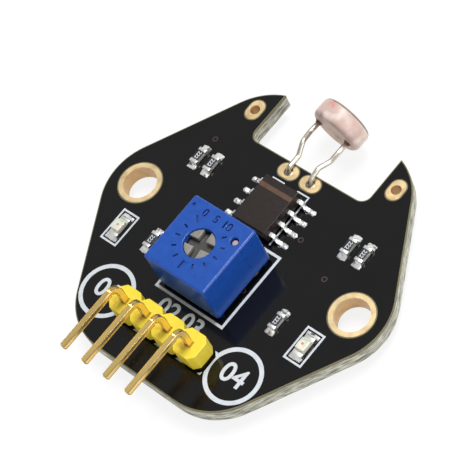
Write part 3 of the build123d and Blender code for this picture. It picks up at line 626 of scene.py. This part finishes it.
# Comparator leads
# Each lead is punched from a thin tinned strip and bent to a gull wing, so its foot lies flat on
# its land.
COMPARATOR_LEADS = range(1, 9)
tin = surface("tinned_metal", (236, 236, 234), shade=0.93, grain=1.6, roughness=0.34, rough_spread=0.08,
              bump=0.002, Metallic=0.85)
for number in COMPARATOR_LEADS:
    soften(f"comparator_lead_{number}", tin, width=0.03)


# Resistors
# A thick-film resistor is a white ceramic chip with a black glaze on top, printed with its value,
# and a tinned cap baked round each end.
RESISTORS = range(1, 7)
DIGIT_SIZE = 0.52
DIGIT_THICKNESS = 0.01
DIGIT_TURN = -90
glaze_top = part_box("resistor_1")[1].z / MM
ceramic = surface("resistor_ceramic", (196, 196, 190), shade=0.85, grain=4.0, roughness=0.5, bump=0.008)
wash(ceramic, (20, 20, 22), "Z", none_at=glaze_top - 0.028, full_at=glaze_top - 0.02)
for number in RESISTORS:
    node = f"resistor_{number}"
    soften(node, ceramic, width=0.015)
    low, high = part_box(node)
    middle = (low + high) / 2 / MM
    place = (middle.x, middle.y, high.z / MM)
    digits = characters("222", DIGIT_SIZE, DIGIT_THICKNESS, place, DIGIT_TURN)
    add_piece(f"value_{number}", digits, ink)
soften("resistor_end_caps", tin, width=0.05)


# Lamps
# Each lamp is a white base with metal ends and a cream resin block over a tiny die, which shows as
# a reddish spot. The resin is green towards the end that the current leaves by. The lamps are
# narrower and lower than their CAD solids, by the two shares.
WIDTH_SHARE = 0.8
HEIGHT_SHARE = 0.7
DIE_SIZE = 0.2
DIE_THICKNESS = 0.01
lamp_white = surface("lamp_white", (232, 228, 210), shade=0.9, grain=3.0, roughness=0.45, bump=0.006)
die_red = surface("lamp_die", (196, 136, 128), shade=0.85, grain=6.0, roughness=0.4)
for side in ("left", "right"):
    lens_low, lens_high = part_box(f"lamp_lens_{side}")
    lens_middle = (lens_low + lens_high) / 2 / MM
    resin = surface(f"lamp_resin_{side}", (233, 231, 213), shade=0.88, grain=2.5, roughness=0.16,
                    contrast=2.5, Coat_Weight=0.4)
    wash(resin, (150, 186, 152), "Y", none_at=lens_middle.y + 0.2, full_at=lens_high.y / MM)
    base_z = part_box(f"lamp_base_{side}")[0].z
    foot = Vector((lens_middle.x * MM, lens_middle.y * MM, base_z))
    fit = Matrix.Diagonal((WIDTH_SHARE, 1, HEIGHT_SHARE, 1))
    fit = Matrix.Translation(foot) @ fit @ Matrix.Translation(-foot)
    for part, material, width in (("base", lamp_white, 0.02), ("lens", resin, 0.1),
                                  ("end_caps", tin, 0.04)):
        soften(f"lamp_{part}_{side}", material, width).data.transform(fit)
    die_middle = Vector((foot.x, foot.y, (fit @ lens_high).z))
    die_form = bmesh.new()
    bar(die_form, DIE_SIZE, DIE_SIZE, DIE_THICKNESS, Matrix.Translation(die_middle))
    add_piece(f"lamp_die_{side}", finished(die_form, "lamp_die"), die_red)


# Solder of the chips
# Paste is printed on every land and melted in an oven. It wets the metal ends and draws up them in
# a hollow curve, with a different lump on each, and the black mask closes up to its edge.
JOINT_STEPS = 10
JOINT_SPREAD = 0.06
LEAD_JOINT_HEIGHT = 0.25
RIM_HEIGHT = 0.04
FOOT_RISE = 0.3
LEAD_SWELL = 0.6
CAP_RISE = 0.7
CAP_HOLLOW = 1.8
SIDE_FALL = 0.85
SIDE_FALL_POWER = 4
END_FALL = 5
END_SQUARENESS = 24
NARROWEST = 0.05
SIDE_LUMP, SIDE_GRAIN = 0.2, 2.0
END_LUMP, END_GRAIN = 0.25, 2.4
TOP_LUMP, TOP_GRAIN = 0.5, 2.7
LAND_MARGIN = 0.16
MARGIN_DROP = 0.004
TINY = MM / 1000


def islands(node):
    """Corner points of each separate solid in a CAD piece, in the order of its mesh."""
    form = bmesh.new()
    form.from_mesh(frame["nodes"][node].data)
    bmesh.ops.remove_doubles(form, verts=form.verts, dist=MERGE)
    seen = set()
    groups = []
    for first in form.verts:
        if first in seen:
            continue
        seen.add(first)
        group, waiting = [], [first]
        while waiting:
            point = waiting.pop()
            group.append(point.co.copy())
            for edge in point.link_edges:
                other = edge.other_vert(point)
                if other not in seen:
                    seen.add(other)
                    waiting.append(other)
        groups.append(group)
    form.free()
    return groups


def box_of(points):
    """Lowest and highest corner of some points."""
    return [Vector([pick(point[axis] for point in points) for axis in range(3)]) for pick in (min, max)]


def joint_top(points, low, high):
    """Rows of points over one solder joint: high at the chip, hollow, and round at its far end."""
    crest = [point for point in points if point.z > high.z - TINY]
    crest_middle = sum(crest, Vector()) / len(crest)
    middle = (low + high) / 2
    along = 0 if abs(crest_middle.x - middle.x) > abs(crest_middle.y - middle.y) else 1
    across = 1 - along
    sign = 1 if crest_middle[along] < middle[along] else -1
    length, width = high[along] - low[along], high[across] - low[across]
    at_lead = high.z - low.z < LEAD_JOINT_HEIGHT * MM
    rows = []
    for row in range(JOINT_STEPS + 1):
        out = row / JOINT_STEPS
        half_width = (width / 2 + JOINT_SPREAD * MM) * (1 - out ** END_SQUARENESS) ** 0.5
        swell = LEAD_SWELL * sin(pi * out) if at_lead else CAP_RISE * (1 - out) ** CAP_HOLLOW
        line = []
        for column in range(JOINT_STEPS + 1):
            aside = 2 * column / JOINT_STEPS - 1
            point = Vector()
            point[along] = crest_middle[along] + sign * out * length
            point[across] = middle[across] + aside * max(half_width, width * NARROWEST)
            spot = point / MM
            point[across] -= aside * half_width * SIDE_LUMP * abs(noise.noise(spot * SIDE_GRAIN))
            point[along] -= sign * out * length * END_LUMP * abs(noise.noise(spot * END_GRAIN))
            lump = 1 + TOP_LUMP * noise.noise(spot * TOP_GRAIN)
            lift = (FOOT_RISE + swell) * (1 - SIDE_FALL * abs(aside) ** SIDE_FALL_POWER)
            lift = lift * min(1.0, END_FALL * (1 - out)) * lump
            point.z = low.z + min(1.0, max(RIM_HEIGHT, lift)) * (high.z - low.z)
            line.append(point)
        rows.append(line)
    return rows


def solder_joint(form, points):
    """Adds one solder joint to a mesh under construction, closed below by a flat foot."""
    low, high = box_of(points)
    rows = joint_top(points, low, high)
    tops = [[form.verts.new(point) for point in line] for line in rows]
    feet = [[form.verts.new((point.x, point.y, low.z)) for point in line] for line in rows]
    steps = range(JOINT_STEPS)
    for grid, up in ((tops, True), (feet, False)):
        for row in steps:
            for column in steps:
                quad = [grid[row][column], grid[row + 1][column]]
                quad += [grid[row + 1][column + 1], grid[row][column + 1]]
                form.faces.new(quad if up else quad[::-1])
    last = JOINT_STEPS
    rim = [(0, step) for step in steps] + [(step, last) for step in steps]
    rim += [(last, last - step) for step in steps] + [(last - step, 0) for step in steps]
    for (row, column), (next_row, next_column) in zip(rim, rim[1:] + rim[:1]):
        form.faces.new((tops[row][column], tops[next_row][next_column],
                        feet[next_row][next_column], feet[row][column]))


mask_top_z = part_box("solder_mask_top")[1].z
margin_form = bmesh.new()
for points in islands("chip_lands"):
    low, high = box_of(points)
    size = (high - low) / MM
    middle = (low + high) / 2
    middle.z = mask_top_z - MARGIN_DROP * MM
    bar(margin_form, size.x + LAND_MARGIN, size.y + LAND_MARGIN, MARGIN_DROP, Matrix.Translation(middle))
margins = add_piece("land_margins", finished(margin_form, "land_margins"), mask_black)
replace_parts(margins, "chip_lands")

solder = surface("solder", (240, 240, 238), shade=0.86, grain=1.6, roughness=0.3, rough_spread=0.1,
                 bump=0.02, Metallic=0.5)
blotch(solder, (110, 106, 102), grain=1.8, none_at=0.56, full_at=0.66)
joint_form = bmesh.new()
for points in islands("chip_solder"):
    solder_joint(joint_form, points)
bmesh.ops.recalc_face_normals(joint_form, faces=joint_form.faces)
joints = add_piece("chip_joints", finished(joint_form, "chip_joints", smooth_to=50), solder)
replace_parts(joints, "chip_solder")


# Photoresistor
# A sintered disc carries a zigzag light-sensitive stripe between two metal areas. It is dipped in
# milky pink resin, which is clear only over its face, and its wires leave through the back.
LATHE_STEPS = 96
ARC_STEPS = 8
EDGE_RADIUS = 0.54 * MM
WINDOW_DIPS = (0.05 * MM, 0.01 * MM)
WINDOW_BEND = 0.7
RIM_ARC = (30, 55)
SKIN = 0.005 * MM
RED_SPOT = (-0.5, 14.46, 4.47)
FRONT_STAIN = (-0.81, 12.92, 3.8)
BACK_STAIN = (0.29, 12.95, 1.67)
FRONT_FACING = 0.95


def reach(node, axis, middle):
    """How far a round piece reaches from its axis, and how far back and forward along it."""
    offsets = [point.co - middle for point in frame["nodes"][node].data.vertices]
    heights = [offset.dot(axis) for offset in offsets]
    radius = max((offset - axis * height).length for offset, height in zip(offsets, heights))
    return radius, min(heights), max(heights)


def lathe(name, profile, middle, axis, material):
    """Round piece from a profile of radius and height along its axis."""
    form = bmesh.new()
    upright = axis.to_track_quat("Z", "Y").to_matrix()
    loops = []
    for radius, height in profile:
        steps = LATHE_STEPS if radius > TINY else 1
        loop = []
        for step in range(steps):
            angle = 2 * pi * step / steps
            point = Vector((radius * cos(angle), radius * sin(angle), height))
            loop.append(form.verts.new(middle + upright @ point))
        loops.append(loop)
    for inner, outer in zip(loops, loops[1:]):
        for step in range(LATHE_STEPS):
            after = (step + 1) % LATHE_STEPS
            if len(inner) == 1:
                form.faces.new((inner[0], outer[after], outer[step]))
            elif len(outer) == 1:
                form.faces.new((inner[step], inner[after], outer[0]))
            else:
                form.faces.new((inner[step], inner[after], outer[after], outer[step]))
    bmesh.ops.recalc_face_normals(form, faces=form.faces)
    return add_piece(name, finished(form, name, smooth_to=40), material)


def arc(radius, centre_r, centre_h, first, last):
    """Points of a profile's rounded corner."""
    angles = [radians(first + (last - first) * step / ARC_STEPS) for step in range(ARC_STEPS + 1)]
    return [(centre_r + radius * cos(angle), centre_h + radius * sin(angle)) for angle in angles]


coat_low, coat_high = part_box("sensor_coat")
sensor_middle = (coat_low + coat_high) / 2
disc_faces = frame["nodes"]["sensor_disc"].data.polygons
front_faces = [face.normal * face.area for face in disc_faces if face.normal.y > FRONT_FACING]
sensor_front = sum(front_faces, Vector()).normalized()
coat_radius, coat_back, coat_front = reach("sensor_coat", sensor_front, sensor_middle)
disc_radius, disc_back = reach("sensor_disc", sensor_front, sensor_middle)[:2]
face_level = reach("sensor_electrodes", sensor_front, sensor_middle)[2]
flat_radius = coat_radius - EDGE_RADIUS
front_round = coat_front - EDGE_RADIUS

coat_pink = surface("sensor_resin", (208, 182, 172), shade=0.92, grain=0.5, roughness=0.34,
                    rough_spread=0.06, bump=0.004, Specular_IOR_Level=0.3,
                    Subsurface_Weight=0.3, Subsurface_Scale=0.0006)
blotch(coat_pink, (206, 138, 130), grain=0.45, none_at=0.58, full_at=0.8)
blotch(coat_pink, (232, 216, 208), grain=0.6, none_at=0.52, full_at=0.75)
stain_and_reflection(coat_pink, (214, 96, 98), RED_SPOT, reach=0.75, strength=0.62)
stain_and_reflection(coat_pink, (150, 104, 80), FRONT_STAIN, reach=0.7, strength=0.8)
shell_profile = [(0, coat_back)]
shell_profile += arc(EDGE_RADIUS, flat_radius, coat_back + EDGE_RADIUS, -90, 0)
shell_profile += arc(EDGE_RADIUS, flat_radius, front_round, 0, 90)
shell_profile += [(flat_radius, face_level), (disc_radius, face_level)]
shell_profile += [(disc_radius, disc_back), (0, disc_back)]
shell = lathe("sensor_shell", shell_profile, sensor_middle, sensor_front, coat_pink)
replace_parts(shell, "sensor_coat")

window_clear = surface("sensor_window", (250, 246, 240), shade=0.99, grain=0.5, roughness=0.05,
                       rough_spread=0.02, Transmission_Weight=1.0, IOR=1.45)
window_profile = [(0, face_level), (flat_radius, face_level), (flat_radius, coat_front - WINDOW_DIPS[0])]
window_profile += [(flat_radius * WINDOW_BEND, coat_front - WINDOW_DIPS[1]), (0, coat_front)]
window = lathe("sensor_window", window_profile, sensor_middle, sensor_front, window_clear)
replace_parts(window, "sensor_coat")

back_brown = surface("sensor_back", (246, 214, 196), shade=0.86, grain=1.2, roughness=0.5, bump=0.006,
                     contrast=2.5, Specular_IOR_Level=0.2)
stain_and_reflection(back_brown, (168, 122, 96), BACK_STAIN, reach=0.7, strength=0.7)
back_profile = [(0, coat_back - SKIN), (flat_radius, coat_back - SKIN)]
back_profile += [(flat_radius, coat_back + SKIN), (0, coat_back + SKIN)]
lathe("sensor_back", back_profile, sensor_middle, sensor_front, back_brown)

rim_olive = surface("sensor_rim", (136, 124, 108), shade=0.75, grain=1.0, roughness=0.4, contrast=2.5)
rim_profile = arc(EDGE_RADIUS + SKIN, flat_radius, front_round, *RIM_ARC)
rim_profile += arc(EDGE_RADIUS - SKIN, flat_radius, front_round, *RIM_ARC[::-1]) + rim_profile[:1]
lathe("sensor_rim", rim_profile, sensor_middle, sensor_front, rim_olive)

disc_ceramic = surface("sensor_ceramic", (214, 206, 190), shade=0.9, grain=2.0, roughness=0.6, bump=0.01)
stripe_orange = surface("sensor_stripe", (206, 96, 40), shade=0.85, grain=5.0, roughness=0.5, bump=0.004)
electrode_metal = surface("electrode_metal", (214, 212, 206), shade=0.9, grain=4.0, roughness=0.3,
                          Metallic=0.9)
dress("sensor_disc", disc_ceramic)
dress("sensor_stripe", stripe_orange)
dress("sensor_electrodes", electrode_metal)


# Photoresistor leads
# Each lead is tinned wire, bent by hand over the notch. It leaves the board's hole upright, turns
# level in a few small waves and enters the disc's back through a brown collar of resin.
COLLAR_PROFILE = ((0.24, 0.1), (0.42, 0.04), (0.37, -0.03), (0.3, -0.1), (0.25, -0.24), (0.2, -0.24),
                  (0.24, 0.1))
END_SLICE = 0.01
collar_brown = surface("sensor_collar", (128, 88, 74), shade=0.6, grain=3.0, roughness=0.4, bump=0.02,
                       contrast=3.0)
wire_tin = surface("sensor_wire", (212, 206, 192), shade=0.9, grain=1.5, roughness=0.32, Metallic=0.95)
for side in ("left", "right"):
    node = f"sensor_lead_{side}"
    soften(node, wire_tin, width=0)
    points = [point.co for point in frame["nodes"][node].data.vertices]
    deepest = max((point - sensor_middle).dot(sensor_front) for point in points)
    end_from = deepest - END_SLICE * MM
    end = [point for point in points if (point - sensor_middle).dot(sensor_front) > end_from]
    exit_middle = sum(end, Vector()) / len(end)
    exit_middle -= sensor_front * (deepest - coat_back)
    profile = [(radius * MM, height * MM) for radius, height in COLLAR_PROFILE]
    lathe(f"sensor_collar_{side}", profile, exit_middle, sensor_front, collar_brown)


# Solder under the board
# The header, the trimmer and the photoresistor are soldered from below. Each joint wets its pad and
# tapers down its tail in a hollow cone.
TAIL_RADIUS = {"header_solder": 0.44, "trimmer_solder": 0.25, "sensor_solder": 0.24}
CONE_STEPS = 10
CONE_HOLLOW = 1.9
UP = Vector((0, 0, 1))
for node, tail in TAIL_RADIUS.items():
    for number, points in enumerate(islands(node), 1):
        low, high = box_of(points)
        middle = (low + high) / 2
        foot = Vector((middle.x, middle.y, high.z))
        taper = (high.x - low.x) / 2 - tail * MM
        profile = [(0, 0)]
        for step in range(CONE_STEPS + 1):
            share = step / CONE_STEPS
            profile.append((tail * MM + taper * (1 - share) ** CONE_HOLLOW, -share * (high.z - low.z)))
        profile.append((0, low.z - high.z))
        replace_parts(lathe(f"{node}_{number}", profile, foot, UP, solder), node)


# Solder in the sensor's holes
# Solder has risen through the two plated holes and set a little below the top, grey and uneven,
# round the wires.
PLUG_PROFILE = ((0, -0.06), (0.3, -0.08), (0.43, -0.12), (0.43, -0.5), (0, -0.5))
plug_solder = surface("solder_plug", (176, 170, 160), shade=0.45, grain=5.0, roughness=0.35,
                      rough_spread=0.1, bump=0.03, contrast=2.5, Metallic=0.7)
for side in ("left", "right"):
    hole_low, hole_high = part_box(f"sensor_hole_{side}")
    hole_middle = (hole_low + hole_high) / 2
    foot = Vector((hole_middle.x, hole_middle.y, hole_high.z))
    profile = [(radius * MM, height * MM) for radius, height in PLUG_PROFILE]
    lathe(f"solder_plug_{side}", profile, foot, UP, plug_solder)


# Via rings
# Each via is a small drilled and plated hole under the mask, so its rim shows as a thin reddish
# brown ring round a dark dimple.
VIA_OUTER = 0.26 * MM
VIA_INNER = 0.17 * MM
ring_profile = [(VIA_INNER, -SKIN), (VIA_OUTER, -SKIN), (VIA_OUTER, SKIN), (VIA_INNER, SKIN)]
ring_profile += ring_profile[:1]
via_ring = surface("via_ring", (72, 52, 49), shade=0.8, grain=3.0, roughness=0.35)
for number, points in enumerate(islands("vias"), 1):
    low, high = box_of(points)
    middle = (low + high) / 2
    middle.z = mask_top_z
    lathe(f"via_ring_{number}", ring_profile, middle, UP, via_ring)
